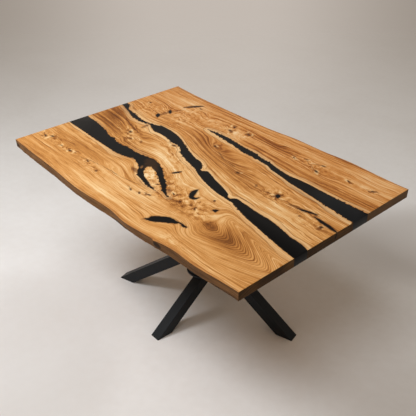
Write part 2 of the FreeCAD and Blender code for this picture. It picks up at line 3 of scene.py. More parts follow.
import bmesh
import bpy
import numpy as np
from mathutils import Matrix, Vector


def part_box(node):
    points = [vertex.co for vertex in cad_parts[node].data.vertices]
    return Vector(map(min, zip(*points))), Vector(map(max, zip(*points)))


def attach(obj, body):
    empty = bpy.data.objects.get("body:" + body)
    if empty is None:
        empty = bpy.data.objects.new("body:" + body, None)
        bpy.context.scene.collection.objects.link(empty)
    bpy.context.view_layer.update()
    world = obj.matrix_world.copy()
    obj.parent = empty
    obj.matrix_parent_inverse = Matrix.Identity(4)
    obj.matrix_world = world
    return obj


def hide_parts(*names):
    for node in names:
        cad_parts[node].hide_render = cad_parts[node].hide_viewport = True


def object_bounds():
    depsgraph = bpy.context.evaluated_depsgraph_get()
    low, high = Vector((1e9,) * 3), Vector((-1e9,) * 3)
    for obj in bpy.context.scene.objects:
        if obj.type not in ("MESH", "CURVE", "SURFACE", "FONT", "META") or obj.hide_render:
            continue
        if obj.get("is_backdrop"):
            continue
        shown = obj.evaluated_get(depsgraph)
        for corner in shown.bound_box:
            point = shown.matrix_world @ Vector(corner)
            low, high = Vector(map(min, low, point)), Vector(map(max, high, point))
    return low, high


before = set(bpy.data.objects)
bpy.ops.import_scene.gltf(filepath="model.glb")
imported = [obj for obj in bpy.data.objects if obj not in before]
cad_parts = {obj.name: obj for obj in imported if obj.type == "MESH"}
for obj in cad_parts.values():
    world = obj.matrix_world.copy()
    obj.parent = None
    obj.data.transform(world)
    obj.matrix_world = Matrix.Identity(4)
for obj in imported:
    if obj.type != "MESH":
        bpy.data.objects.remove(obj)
cad_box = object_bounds()

# The camera: its place and angles in metres and degrees, its lens and its picture in pixels, its sensor
# in millimetres, and the way in plan that the picture's right lies.
CAMERA_PLACE = (1.76345, -1.57044, 2.00279)
CAMERA_TURN = 47.36
CAMERA_PITCH = -31.73
CAMERA_PIXELS = 655.0
PICTURE_SIDE = 416
SENSOR_WIDTH = 36.0
ROOM_RIGHT = (math.cos(math.radians(CAMERA_TURN)), math.sin(math.radians(CAMERA_TURN)))

# The soft lamps: name, place, width across, power in watts and colour. All of them point at LAMP_AIM.
LAMP_AIM = (0, 0, 0.4)
LAMPS = [
    ("key_lamp", (-1.0, -1.6, 2.9), 1.0, 57.0, (0.97, 1.0, 1.05)),
    ("high_lamp", (1.5, -3.0, 8.0), 4.4, 185.0, (0.98, 1.0, 1.03)),
]

# The studio floor, a disc.
FLOOR_RADIUS = 16.0
FLOOR_SIDES = 96

# The CAD nodes by their material, and those that the grain parts round.
SIDES = ("left", "front", "right", "back")
STEEL_PARTS = ("leg", "arm", "mounting_plate", "foot_plate")
SLABS = ["front_slab", "back_slab"]
RIVERS = ["left_river", "middle_river", "right_river"]
FILLS = ["front_void_fill", "hook_void_fill", "knot_fills"]
GRAIN_PARTS_ROUND = RIVERS + ["front_void_fill", "hook_void_fill"]
STEEL_NODES = [f"{side}_{part}" for side in SIDES for part in STEEL_PARTS]
STEEL_NODES += ["hub_pipe", "hub_base_plate", "hub_top_plate", "left_stiffener", "right_stiffener"]
ZINC_NODES = [f"{side}_leveller" for side in SIDES]
ZINC_NODES += ["mounting_bolts", "stiffener_screws"]
BRASS_NODES = ["mounting_inserts"]

# The table top, and how far from a place still counts as there.
TOP_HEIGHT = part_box("back_slab")[1][2]
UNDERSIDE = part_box("back_slab")[0][2]
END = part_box("back_slab")[1][0]
NEAR_TOP = 0.0002
ON_EDGE = 0.0005

# A slab's mesh: the squares that its faces are cut into, the heights over the underside of the cuts round
# its edges, the eased arrises, the gap that is merged, the angles under which faces are one flat or one
# smooth surface, and the angle over which two sides meet in a corner.
SLAB_GRID = 0.010
EDGE_LAYERS = (0.007, 0.014, 0.021, 0.028)
ARRIS = 0.0012
ARRIS_STEPS = 2
MERGE_GAP = 0.00001
FLAT_ANGLE = math.radians(0.4)
SMOOTH_ANGLE = math.radians(35)
CORNER_ANGLE = 1.0  # radians

# How a face is told by its normal: the most that a side points up or down, the least that a flat face
# does, and the least that a sawn end points along the table.
SIDE_UPWARD = 0.95
FLAT_UPWARD = 0.9
END_ALONG = 0.3

# A slab's finishes, by their numbers on its mesh.
FACE_OAK, END_OAK, LIVE_OAK = range(3)

# The hollows of the live edges: their relief from the deepest to the proudest point, their width, the
# share of the relief that stands out, the height of the upper rim and how much of the relief it has, and
# how far in from a live edge a side may lie.
LIVE_RELIEF = 0.0024
LIVE_HOLLOW = 0.040
LIVE_OUTWARD = 0.2
LIVE_RIM = 0.004
RIM_SHARE = 0.2
LIVE_DEPTH = 0.012

# The grain field: the side of its cells, the sweeps that settle it, its value at the live edges, how far
# it runs past them, and how far from the middle line the outside may begin.
FIELD_CELL = 0.008
FIELD_SWEEPS = 900
FIELD_EDGE = 0.47
FIELD_MARGIN = 0.024
FIELD_INSIDE = 0.40

# How much of the pale sapwood a sound bank shows.
SAP_SHARE = 0.9

# Limits that keep the sums on points and triangles safe.
FAR_OFF = 9.0
TINY_LENGTH = 1e-12
TINY_AREA = 1e-10
INSIDE_LAST = 1.001
EDGE_DIGITS = 5

# Lines about which the grain of the front slab folds into nested arcs: a point on the line, the way
# that the tips point in degrees, how far the fold runs back and ahead of the point, how long it takes
# to fade, its reach to the front, how fast the arcs close and the roundness of their tips.
FOLDS = [
    (0.520, -0.305, -8, 0.12, 0.40, 0.12, 0.08, 0.36, 0.020),
]

# How far from a bank the fold is whole: at the bank itself the grain follows the bank.
FOLD_CLEAR = 0.06

# Ovals in the grain: place, half length, half width, turn in degrees and height of each, in metres.
SWIRLS = [
    (0.220, -0.285, 0.110, 0.040, -10, 0.046),
    (-0.085, -0.195, 0.060, 0.028, -28, 0.040),
    (0.395, 0.042, 0.055, 0.024, 0, 0.036),
    (0.373, 0.300, 0.080, 0.018, -8, 0.028),
    (-0.440, -0.326, 0.100, 0.016, -2, 0.022),
    (-0.640, -0.318, 0.060, 0.020, 6, 0.026),
    (-0.480, 0.240, 0.060, 0.040, -50, 0.034),
    (0.240, -0.215, 0.040, 0.026, -30, 0.036),
    (-0.280, 0.300, 0.070, 0.036, -40, 0.034),
    (0.100, 0.350, 0.110, 0.024, -6, 0.030),
    (-0.170, -0.300, 0.140, 0.020, -4, 0.024),
    (0.020, 0.120, 0.170, 0.052, -18, 0.052),
    (-0.060, 0.146, 0.070, 0.026, -18, 0.026),
    (-0.360, -0.030, 0.120, 0.040, -20, 0.030),
]

# Patches of tone, paler above nought: place, half length, half width, turn and strength.
PATCHES = [
    (0.450, -0.300, 0.120, 0.050, -6, -0.28),
    (0.360, -0.230, 0.050, 0.026, -4, 0.20),
    (-0.640, 0.050, 0.090, 0.050, -14, -0.22),
    (-0.060, -0.205, 0.080, 0.035, -28, 0.34),
    (-0.085, 0.295, 0.060, 0.034, -10, 0.30),
    (0.100, 0.350, 0.130, 0.022, -4, -0.22),
    (0.020, 0.140, 0.140, 0.034, -30, -0.14),
    (-0.200, 0.020, 0.160, 0.060, -16, 0.20),
    (0.020, -0.120, 0.120, 0.050, -30, 0.12),
    (-0.500, 0.395, 0.130, 0.045, 0, 0.18),
    (-0.420, 0.300, 0.080, 0.050, -20, 0.20),
    (-0.230, 0.300, 0.080, 0.040, -10, 0.16),
    (0.080, -0.230, 0.080, 0.035, -20, 0.04),
    (0.200, -0.285, 0.110, 0.022, -10, -0.14),
    (0.310, -0.305, 0.060, 0.030, -8, 0.10),
    (0.060, -0.335, 0.080, 0.040, 0, 0.10),
    (-0.130, -0.228, 0.022, 0.012, -20, -0.40),
    (0.400, -0.430, 0.200, 0.036, 4, 0.06),
    (-0.160, -0.375, 0.240, 0.045, 0, 0.12),
    (-0.180, -0.430, 0.280, 0.030, -2, 0.08),
    (-0.480, -0.300, 0.240, 0.110, 0, -0.07),
    (0.620, 0.330, 0.100, 0.060, 0, 0.14),
    (0.340, 0.425, 0.080, 0.030, 0, -0.10),
    (-0.150, 0.150, 0.120, 0.050, -25, -0.20),
    (0.000, 0.185, 0.090, 0.020, -8, 0.14),
    (0.170, 0.075, 0.160, 0.045, -12, -0.14),
    (-0.520, 0.125, 0.080, 0.030, -12, 0.20),
    (-0.580, -0.020, 0.180, 0.055, -6, -0.16),
    (-0.140, -0.070, 0.120, 0.045, -25, 0.16),
    (0.460, -0.060, 0.160, 0.035, -8, 0.16),
    (0.180, -0.140, 0.130, 0.045, -12, 0.12),
    (-0.210, -0.235, 0.100, 0.035, 0, 0.14),
    (-0.560, -0.190, 0.150, 0.025, -3, 0.12),
    (-0.670, -0.300, 0.060, 0.040, 0, 0.12),
    (0.500, -0.235, 0.080, 0.028, -10, -0.10),
]

# Where the grain turns to burl: place, half length, half width, turn and strength.
BURLS = [
    (-0.105, 0.305, 0.090, 0.045, -10, 1.0),
    (-0.390, 0.265, 0.110, 0.070, -50, 0.8),
    (0.080, -0.225, 0.090, 0.050, -25, 1.0),
    (0.240, -0.240, 0.110, 0.060, -10, 0.9),
    (-0.050, -0.210, 0.090, 0.040, -28, 1.2),
    (-0.620, -0.318, 0.070, 0.026, 0, 0.8),
    (-0.450, -0.325, 0.060, 0.022, 0, 0.7),
    (-0.270, -0.338, 0.090, 0.026, -4, 0.6),
    (0.395, 0.035, 0.070, 0.040, 0, 0.8),
    (0.600, 0.000, 0.080, 0.040, -10, 0.5),
    (0.330, 0.320, 0.120, 0.034, 0, 0.6),
    (0.570, 0.325, 0.090, 0.020, 0, 0.5),
    (-0.400, -0.045, 0.070, 0.045, -30, 0.7),
    (-0.180, 0.030, 0.060, 0.030, 0, 0.6),
    (-0.080, -0.050, 0.150, 0.050, -26, 0.5),
    (-0.560, 0.210, 0.090, 0.060, 0, 0.7),
    (-0.270, 0.310, 0.080, 0.050, -20, 0.6),
    (0.350, -0.440, 0.060, 0.026, 0, 0.5),
]

# Stretches of bank that are torn and have no pale sapwood: place, half length, half width, turn and
# strength.
TORN_BANKS = [
    (-0.400, -0.110, 0.240, 0.040, -6, 1.0),
    (-0.100, -0.130, 0.120, 0.050, -35, 1.0),
    (-0.080, -0.210, 0.080, 0.040, -25, 1.0),
    (0.050, -0.210, 0.080, 0.040, -45, 1.0),
    (0.030, 0.220, 0.140, 0.030, -25, 0.8),
    (-0.650, 0.150, 0.060, 0.040, -30, 0.5),
    (-0.215, -0.188, 0.100, 0.030, 8, 0.65),
]

# Where the rings show most: place, half length, half width, turn and strength.
RINGS = [
    (0.540, -0.310, 0.180, 0.080, -8, 1.0),
    (0.500, 0.240, 0.240, 0.030, -3, 0.7),
    (-0.300, -0.260, 0.260, 0.060, 0, 0.3),
    (-0.640, 0.030, 0.120, 0.060, -16, 0.7),
    (0.020, 0.130, 0.160, 0.060, -30, 0.6),
]

# Small dark knots in the wood: place, half length, half width and turn.
KNOTS = [
    (-0.647, -0.324, 0.012, 0.006, -20),
    (-0.617, -0.304, 0.010, 0.005, 10),
    (-0.513, -0.323, 0.006, 0.004, 0),
    (-0.447, -0.325, 0.012, 0.005, 8),
    (-0.317, -0.323, 0.008, 0.004, -10),
    (-0.223, -0.347, 0.006, 0.004, 0),
    (-0.013, -0.333, 0.007, 0.004, -25),
    (0.030, -0.325, 0.008, 0.004, -20),
    (0.065, -0.308, 0.010, 0.004, 15),
    (0.263, -0.157, 0.005, 0.004, 0),
    (0.257, -0.247, 0.009, 0.004, -45),
    (0.170, 0.057, 0.009, 0.005, 0),
    (0.395, 0.041, 0.013, 0.008, -50),
    (0.543, -0.007, 0.005, 0.004, 0),
    (0.643, -0.008, 0.007, 0.006, 70),
    (0.363, 0.350, 0.009, 0.004, 20),
    (0.373, 0.293, 0.011, 0.005, -30),
    (0.237, 0.320, 0.008, 0.003, -20),
    (0.283, 0.343, 0.006, 0.003, 0),
    (0.510, 0.323, 0.009, 0.004, -30),
    (0.620, 0.325, 0.008, 0.005, 10),
    (-0.623, 0.247, 0.007, 0.004, -30),
    (-0.397, 0.373, 0.006, 0.004, 0),
    (-0.143, 0.347, 0.009, 0.006, -30),
    (-0.130, 0.307, 0.012, 0.006, -20),
    (-0.043, 0.340, 0.011, 0.006, -20),
    (-0.060, 0.153, 0.009, 0.004, -25),
    (-0.183, 0.027, 0.010, 0.005, 20),
    (-0.423, -0.027, 0.012, 0.006, -30),
    (-0.370, -0.067, 0.008, 0.005, 0),
    (0.028, -0.235, 0.008, 0.004, 30),
    (0.055, -0.215, 0.006, 0.003, 60),
    (0.125, -0.235, 0.008, 0.003, -10),
]

# Brown stains round the open knots and cracks: place, half length, half width and turn.
STAINS = [
    (-0.440, 0.372, 0.050, 0.015, 52),
    (-0.476, 0.212, 0.032, 0.012, 88),
    (-0.425, 0.058, 0.010, 0.030, 8),
    (0.530, 0.034, 0.075, 0.009, 6),
    (0.645, 0.016, 0.060, 0.010, -12),
    (-0.122, -0.226, 0.036, 0.010, -12),
    (0.290, 0.038, 0.016, 0.007, -60),
    (0.352, 0.030, 0.022, 0.006, 10),
    (-0.309, -0.054, 0.016, 0.006, -40),
]

# Fine dark lines where the wood has checked: place, half length, half width and turn.
CHECKS = [
    (-0.310, -0.314, 0.068, 0.0024, 9),
    (-0.186, -0.304, 0.064, 0.0024, 0),
    (-0.060, -0.296, 0.068, 0.0024, 8),
    (-0.029, -0.328, 0.024, 0.0030, -15),
    (0.028, 0.108, 0.056, 0.0034, -24),
    (0.105, 0.087, 0.032, 0.0034, -5),
    (0.325, -0.071, 0.064, 0.0030, -5),
    (0.486, 0.029, 0.034, 0.0034, -3),
    (-0.458, 0.277, 0.038, 0.0036, 70),
    (0.332, 0.313, 0.052, 0.0026, -30),
    (0.350, 0.343, 0.040, 0.0026, 10),
]

# Bark left on the front live edge: place along it and up it, half sizes and turn.
BARK = [
    (-0.690, 0.738, 0.030, 0.008, 0),
    (0.325, 0.745, 0.020, 0.012, -20),
    (0.600, 0.728, 0.024, 0.004, 0),
    (0.120, 0.732, 0.060, 0.004, 0),
]

# The resin: where it is painted paler, as a painted reflection of the bright room on its gloss, and how
# much, where it is thin over wood, and where a chip of wood lies in it.
RESIN_PAINTED_REFLECTIONS = [
    (0.640, 0.135, 0.180, 0.060, -12, 0.90),
    (-0.520, -0.130, 0.300, 0.070, -8, 0.25),
]
RESIN_AMBER = (-0.090, -0.160, 0.075, 0.030, -35)
RESIN_CHIP = (-0.126, -0.193, 0.014, 0.006, -50)

# Painted shade on the floor, where the table's shadow is drawn farther out to the right and back, and
# where the light falls off in front of the table towards the left: place, half length, half width, turn
# and strength.
FLOOR_PAINTED_SHADE = [
    (0.450, 1.250, 0.500, 0.380, 47, 0.42),
    (-0.250, -0.800, 0.650, 0.450, -43, 0.22),
]

# A split in the right sawn end, below the crack: place along the end and up it, half sizes and turn.
END_SPLIT = (0.001, 0.746, 0.0035, 0.014, -12)


def paint(red, green, blue):
    """A colour from its parts out of 255, as the shaders take it."""
    parts = []
    for part in (red, green, blue):
        share = part / 255
        parts.append(share / 12.92 if share <= 0.04045 else ((share + 0.055) / 1.055) ** 2.4)
    return (*parts, 1.0)


class Value:
    """A shader socket that takes part in sums."""

    def __init__(self, sheet, socket):
        self.sheet = sheet
        self.socket = socket

    def __add__(self, other):
        return self.sheet.math("ADD", self, other)

    def __sub__(self, other):
        return self.sheet.math("SUBTRACT", self, other)

    def __rsub__(self, other):
        return self.sheet.math("SUBTRACT", other, self)

    def __mul__(self, other):
        return self.sheet.math("MULTIPLY", self, other)

    def __truediv__(self, other):
        return self.sheet.math("DIVIDE", self, other)

    def __rtruediv__(self, other):
        return self.sheet.math("DIVIDE", other, self)

    def __abs__(self):
        return self.sheet.math("ABSOLUTE", self)

    __radd__ = __add__
    __rmul__ = __mul__


class Sheet:
    """The nodes of one finish, added as it is mixed."""

    def __init__(self, tree):
        self.tree = tree
        self.tree.nodes.clear()

    def node(self, kind, settings, sockets, output=0):
        """A new node: its type, its settings, then the values or links of its sockets."""
        new = self.tree.nodes.new("ShaderNode" + kind)
        for name, setting in settings.items():
            if name == "stops":
                self.set_stops(new.color_ramp.elements, setting)
            else:
                setattr(new, name, setting)
        for name, value in sockets.items():
            if isinstance(value, Value):
                self.tree.links.new(value.socket, new.inputs[name])
            else:
                new.inputs[name].default_value = value
        return Value(self, new.outputs[output]) if new.outputs else None

    def set_stops(self, elements, stops):
        """The colours of a ramp, each at its place."""
        while len(elements) < len(stops):
            elements.new(1.0)
        for element, (place, colour) in zip(elements, stops):
            element.position = place
            element.color = colour

    def math(self, operation, *values):
        return self.node("Math", {"operation": operation}, dict(enumerate(values)))

    def place(self):
        """The point on the piece, in metres."""
        return self.node("TexCoord", {}, {}, "Object")

    def parts(self, vector):
        return [self.node("SeparateXYZ", {}, {0: vector}, axis) for axis in "XYZ"]

    def vector(self, *parts):
        return self.node("CombineXYZ", {}, dict(enumerate(parts)))

    def attribute(self, name):
        """The three values that are written on the mesh under a name."""
        return self.parts(self.node("Attribute", {"attribute_name": name}, {}, "Vector"))

    def noise(self, vector, scale, detail=2.0, roughness=0.5):
        """Noise from 0 to 1."""
        sockets = {"Vector": vector, "Scale": scale, "Detail": detail, "Roughness": roughness}
        return self.node("TexNoise", {}, sockets, "Fac")

    def sway(self, vector, scale, detail=2.0, roughness=0.5):
        """Noise to both sides of nought."""
        return self.noise(vector, scale, detail, roughness) - 0.5

    def rise(self, value, low, high):
        """A smooth step from 0 at low to 1 at high."""
        sockets = {"Value": value, "From Min": low, "From Max": high}
        return self.node("MapRange", {"interpolation_type": "SMOOTHSTEP"}, sockets)

    def ramp(self, value, *stops):
        return self.node("ValToRGB", {"stops": stops}, {0: value})

    def mix(self, share, first, second):
        """From the first colour at share 0 to the second at 1."""
        return self.node("Mix", {"data_type": "RGBA"}, {0: share, 6: first, 7: second}, 2)

    def bump(self, height, distance, strength):
        return self.node("Bump", {}, {"Height": height, "Distance": distance, "Strength": strength})

    def surface(self, sockets):
        """The finished surface, from the sockets of the main shader."""
        shader = self.node("BsdfPrincipled", {}, sockets)
        self.node("OutputMaterial", {}, {"Surface": shader})


def finish(name):
    """A new material and the sheet that its nodes go on."""
    material = bpy.data.materials.new(name)
    material.use_nodes = True
    return material, Sheet(material.node_tree)


def spread(first, second, place):
    """How far out a point is from an oval's heart, squared: 1 on the oval itself."""
    middle_1, middle_2, length, width, turn = place
    cosine = math.cos(math.radians(turn))
    sine = math.sin(math.radians(turn))
    along = (first - middle_1) * (cosine / length) + (second - middle_2) * (sine / length)
    across = (second - middle_2) * (cosine / width) - (first - middle_1) * (sine / width)
    return along * along + across * across


def oval(first, second, place):
    """1 in the heart of an oval, given by its place, half sizes and turn, and 0 outside it."""
    return first.sheet.rise(spread(first, second, place), 1.5, 0.2)


def toned_ovals(first, second, places):
    """Ovals added up, each at its own strength."""
    return sum(oval(first, second, place) * strength for *place, strength in places)


def nearest_oval(first, second, places):
    """How far out a point is from the nearest of some ovals."""
    nearest = spread(first, second, places[0])
    for place in places[1:]:
        nearest = first.sheet.math("MINIMUM", nearest, spread(first, second, place))
    return nearest


class OakGrain:
    """What the planed oak reads at a point: its place, the grain's values there and shared noises."""

    def __init__(self, sheet):
        self.sheet = sheet
        self.place = sheet.place()
        self.x, self.y, self.z = sheet.parts(self.place)
        self.along, across, self.burl = sheet.attribute("grain")
        self.tone, self.bank, self.live = sheet.attribute("tones")
        self.void, self.sap, self.dark = sheet.attribute("spots")
        wander = sheet.sway(self.place, 7.0)
        self.curl = sheet.sway(self.place, 26.0, 3.0)
        self.rag = sheet.sway(self.place, 75.0, 3.0)
        calm = sheet.rise(self.dark, 0.9, 0.2) * 0.8 + 0.2
        across = across + (wander * 0.018 + self.curl * 0.005) * calm
        self.across = across + self.curl * self.burl * 0.075
        self.warped_x = self.x + self.rag * 0.014 + self.curl * 0.008
        self.warped_y = self.y + self.curl * 0.012 - self.rag * 0.010
        self.cloud = self.streak(4.0, 22.0, 3.0, 3.0) - 0.5
        self.flame = self.streak(3.0, 170.0, 0.0, 2.0, 0.6) - 0.5
        self.fibre = self.streak(28.0, 900.0) - 0.5
        self.pores = sheet.rise(self.streak(60.0, 2100.0, 0.0, 1.0), 0.60, 0.74)
        curled = sheet.vector(self.x + self.curl * 0.05, self.y - self.curl * 0.05, self.z)
        chips = sheet.noise(curled, 46.0, 3.0)
        self.pale_chips = sheet.rise(chips, 0.52, 0.62)
        self.dark_chips = sheet.rise(chips, 0.46, 0.36)

    def streak(self, length, width, shift=0.0, detail=2.0, roughness=0.5):
        """Noise drawn out along the grain, from its numbers of features to a metre."""
        drawn = self.sheet.vector(self.along * length, self.across * width, self.z + shift)
        return self.sheet.noise(drawn, 1.0, detail, roughness)


def late_wood(oak, bands):
    """The dark lines of the yearly growth, clearest where the rings show and in the burl."""
    sheet = oak.sheet
    growth = sheet.math("FRACT", oak.across * 185.0 + bands * 0.9)
    late = sheet.rise(growth, 0.30, 0.85) * sheet.rise(growth, 1.0, 0.90)
    elsewhere = sheet.rise(sheet.noise(oak.place, 5.0), 0.42, 0.62)
    return late * (oak.dark + oak.burl * 0.5 + elsewhere * 0.4)


def oak_shade(oak):
    """How pale the oak is, from 0 to 1: bands and streaks along the grain, and chips in the burl."""
    sheet = oak.sheet
    broad = oak.streak(0.9, 12.0) - 0.5
    bands = oak.streak(1.2, 60.0, 0.0, 3.0, 0.6) - 0.5
    figure = oak.streak(32.0, 95.0, 7.0, 3.0, 0.65) - 0.5
    dark_lines = sheet.rise(oak.streak(1.5, 84.0, 11.0, 3.0, 0.6), 0.53, 0.62)
    pale_lines = sheet.rise(oak.streak(1.8, 96.0, 13.0, 3.0, 0.6), 0.53, 0.62)
    dashes = sheet.rise(oak.streak(11.0, 250.0, 5.0), 0.60, 0.70)
    flecks = sheet.rise(oak.streak(10.0, 160.0, 9.0), 0.58, 0.68)
    seams = sheet.rise(abs(oak.streak(2.2, 45.0, 0.0, 1.0) - 0.5), 0.030, 0.0)
    late = late_wood(oak, bands)
    crisp = 0.85 + sheet.rise(oak.y, -0.40, 0.10) * 0.5 - oak.dark * 0.45 - oak.burl * 0.40
    shade = 0.50 + oak.tone + broad * 0.32 + oak.cloud * 0.40 + oak.fibre * 0.20
    shade = shade + (bands * 0.44 + oak.flame * 0.60 + pale_lines * 0.11 - dark_lines * 0.12) * crisp
    shade = shade + figure * (0.14 + oak.burl * 0.50)
    shade = shade - late * 0.20 - seams * 0.12 - oak.pores * 0.05 + (flecks * 0.16 - dashes * 0.18) * crisp
    shade = shade + oak.burl * (oak.pale_chips * 0.20 - oak.dark_chips * 0.24)
    return shade + oak.curl * oak.burl * 0.50


def oak_colour(oak):
    """The oak's colour by its shade, painted a little warmer towards the back to stand in for the light
    falling paler on the front.
    """
    sheet = oak.sheet
    colour = sheet.ramp(
        oak_shade(oak),
        (0.00, paint(82, 42, 13)),
        (0.24, paint(151, 92, 38)),
        (0.44, paint(198, 136, 69)),
        (0.58, paint(219, 162, 97)),
        (0.76, paint(235, 193, 135)),
        (1.00, paint(248, 221, 176)),
    )
    # Painted light: warmer towards the back, while the front stays paler as the key lamp lights it.
    warm = sheet.rise(oak.y, -0.10, 0.40) * 0.12
    return sheet.mix(warm, colour, paint(234, 118, 22))


def add_sapwood(oak, colour):
    """Pale sapwood along the sound banks, with a thin dark line at its inner side."""
    sheet = oak.sheet
    lines = sheet.sway(sheet.vector(oak.along * 2.0, oak.bank * 250.0, oak.z), 1.0)
    breadth = sheet.noise(oak.place, 5.0, 3.0) * 0.056 - 0.008
    sapwood = sheet.rise(oak.bank / breadth, 1.0, 0.75) * oak.sap
    colour = sheet.mix(sapwood * (0.52 + lines * 1.8 + oak.cloud), colour, paint(237, 197, 142))
    sap_line = sheet.rise(abs(oak.bank - breadth * 0.95), 0.0034, 0.0006) * oak.sap
    return sheet.mix(sap_line * (0.38 + oak.cloud * 1.5), colour, paint(130, 80, 38))


def add_rim(oak, colour):
    """A brown rim along the live edges."""
    rim = oak.sheet.rise(oak.live + oak.rag * 0.016, 0.015, 0.002)
    return oak.sheet.mix(rim * (0.36 + oak.rag), colour, paint(168, 116, 74))


def add_knots(oak, colour):
    """Small dark knots, each in a halo of chips; gives the colour, and where the knots are."""
    sheet = oak.sheet
    nearest = nearest_oval(oak.warped_x, oak.warped_y, KNOTS)
    knots = sheet.rise(nearest, 1.2, 0.1)
    halo = sheet.rise(nearest, 16.0, 2.0)
    colour = sheet.mix(halo * oak.pale_chips * 0.75, colour, paint(242, 206, 148))
    colour = sheet.mix(halo * oak.dark_chips * 0.80, colour, paint(118, 68, 28))
    colour = sheet.mix(sheet.rise(nearest, 3.5, 0.8) * 0.55, colour, paint(122, 72, 32))
    return sheet.mix(knots * 0.90, colour, paint(46, 27, 13)), knots


def add_stains(oak, colour):
    """Brown stains round the open knots, fine dark checks, and a brown edge to the filled voids."""
    sheet = oak.sheet
    stained = sum(oval(oak.warped_x, oak.warped_y, spot) for spot in STAINS)
    colour = sheet.mix(sheet.rise(stained, 0.1, 1.0) * (0.62 + oak.rag), colour, paint(108, 62, 26))
    checked = nearest_oval(oak.warped_x, oak.warped_y, CHECKS)
    colour = sheet.mix(sheet.rise(checked, 1.4, 0.2) * 0.60, colour, paint(104, 62, 28))
    by_void = sheet.rise(oak.void + oak.rag * 0.020, 0.0100, 0.0010)
    return sheet.mix(by_void * 0.55, colour, paint(112, 66, 30))


def add_torn_edges(oak, colour):
    """The wood's edge at the resin: brown, ragged where it is torn, with resin in the nibbles."""
    sheet = oak.sheet
    torn = sheet.rise(sheet.noise(oak.place, 6.0), 0.44, 0.60)
    torn = sheet.math("MAXIMUM", torn, 1 - oak.sap)
    edge = sheet.math("MINIMUM", oak.bank, oak.void)
    edge = edge + oak.rag * (torn * 0.026 + 0.004)
    brown = sheet.rise(edge, 0.0050, 0.0012)
    colour = sheet.mix(brown * (0.30 + torn * 0.45), colour, paint(110, 66, 30))
    bleed = sheet.rise(edge, 0.0022, 0.0008)
    return sheet.mix(bleed * 0.92, colour, paint(20, 15, 11))


def oak_face():
    """Planed and oiled oak: bands, rings, fibres and pores that follow the grain field."""
    material, sheet = finish("oak_face")
    oak = OakGrain(sheet)
    colour = oak_colour(oak)
    colour = add_sapwood(oak, colour)
    colour = add_rim(oak, colour)
    colour, knots = add_knots(oak, colour)
    colour = add_stains(oak, colour)
    colour = add_torn_edges(oak, colour)
    rough = 0.46 + oak.fibre * 0.20 + oak.pores * 0.10
    relief = sheet.bump(oak.flame * 0.4 + oak.fibre - oak.pores * 1.5 - knots, 0.00025, 0.6)
    sheet.surface({"Base Color": colour, "Roughness": rough, "Normal": relief, "Specular IOR Level": 0.15})
    return material


def oak_end():
    """The sawn ends: end grain, oiled dark, in arcs across the thickness, paler towards the back."""
    material, sheet = finish("oak_end")
    place = sheet.place()
    x, y, z = sheet.parts(place)
    wander = sheet.sway(place, 12.0)
    depth = z + y * y * 0.35 + wander * 0.02
    rings = sheet.sway(sheet.vector(x, y * 6.0, depth * 260.0), 1.0)
    pores = sheet.sway(place, 900.0, 1.0)
    patch = sheet.sway(place, 9.0)
    shade = 0.5 + rings * 0.9 + pores * 0.35 + patch * 0.9
    colour = sheet.ramp(
        shade,
        (0.10, paint(31, 19, 6)),
        (0.45, paint(66, 43, 16)),
        (0.90, paint(105, 71, 30)),
    )
    back = sheet.rise(y, 0.10, 0.24)
    colour = sheet.mix(back * (0.55 + patch * 0.6), colour, paint(118, 90, 64))
    split = oval(y + wander * 0.01, z, END_SPLIT) * sheet.rise(x, 0.0, END)
    colour = sheet.mix(split * 0.9, colour, paint(10, 6, 3))
    relief = sheet.bump(rings + pores, 0.0002, 0.5)
    rough = 0.60 + pores * 0.2
    sheet.surface({"Base Color": colour, "Roughness": rough, "Normal": relief, "Specular IOR Level": 0.12})
    return material


def oak_live():
    """The live edges under the bark: brown, ribbed along the trunk, with dark remains of bark."""
    material, sheet = finish("oak_live")
    place = sheet.place()
    x, y, z = sheet.parts(place)
    wander = sheet.sway(place, 10.0)
    ribs = sheet.sway(sheet.vector(x * 7.0, y * 7.0, (z + wander * 0.010) * 240.0), 1.0)
    patch = sheet.sway(sheet.vector(x * 12.0, y * 12.0, z * 50.0), 1.0, 3.0)
    grit = sheet.sway(place, 420.0)
    shade = 0.5 + ribs * 0.8 + patch * 0.8 + grit * 0.3 - sheet.rise(x, 0.10, 0.45) * 0.16
    colour = sheet.ramp(
        shade,
        (0.05, paint(62, 40, 20)),
        (0.45, paint(116, 80, 46)),
        (0.95, paint(164, 118, 72)),
    )
    arris = sheet.rise(z + wander * 0.004, TOP_HEIGHT - 0.006, TOP_HEIGHT - 0.001)
    colour = sheet.mix(arris * 0.45, colour, paint(70, 44, 24))
    bark = sum(oval(x + patch * 0.02, z + patch * 0.01, spot) for spot in BARK)
    bark = bark * sheet.rise(y, 0.0, -0.1) + sheet.rise(patch + ribs * 0.4, 0.20, 0.32)
    bark = sheet.rise(bark, 0.0, 1.0)
    colour = sheet.mix(bark * 0.85, colour, paint(30, 21, 13))
    relief = sheet.bump(ribs + grit * 0.5 + patch, 0.0012, 0.8)
    rough = 0.64 + grit * 0.2
    sheet.surface({"Base Color": colour, "Roughness": rough, "Normal": relief, "Specular IOR Level": 0.12})
    return material


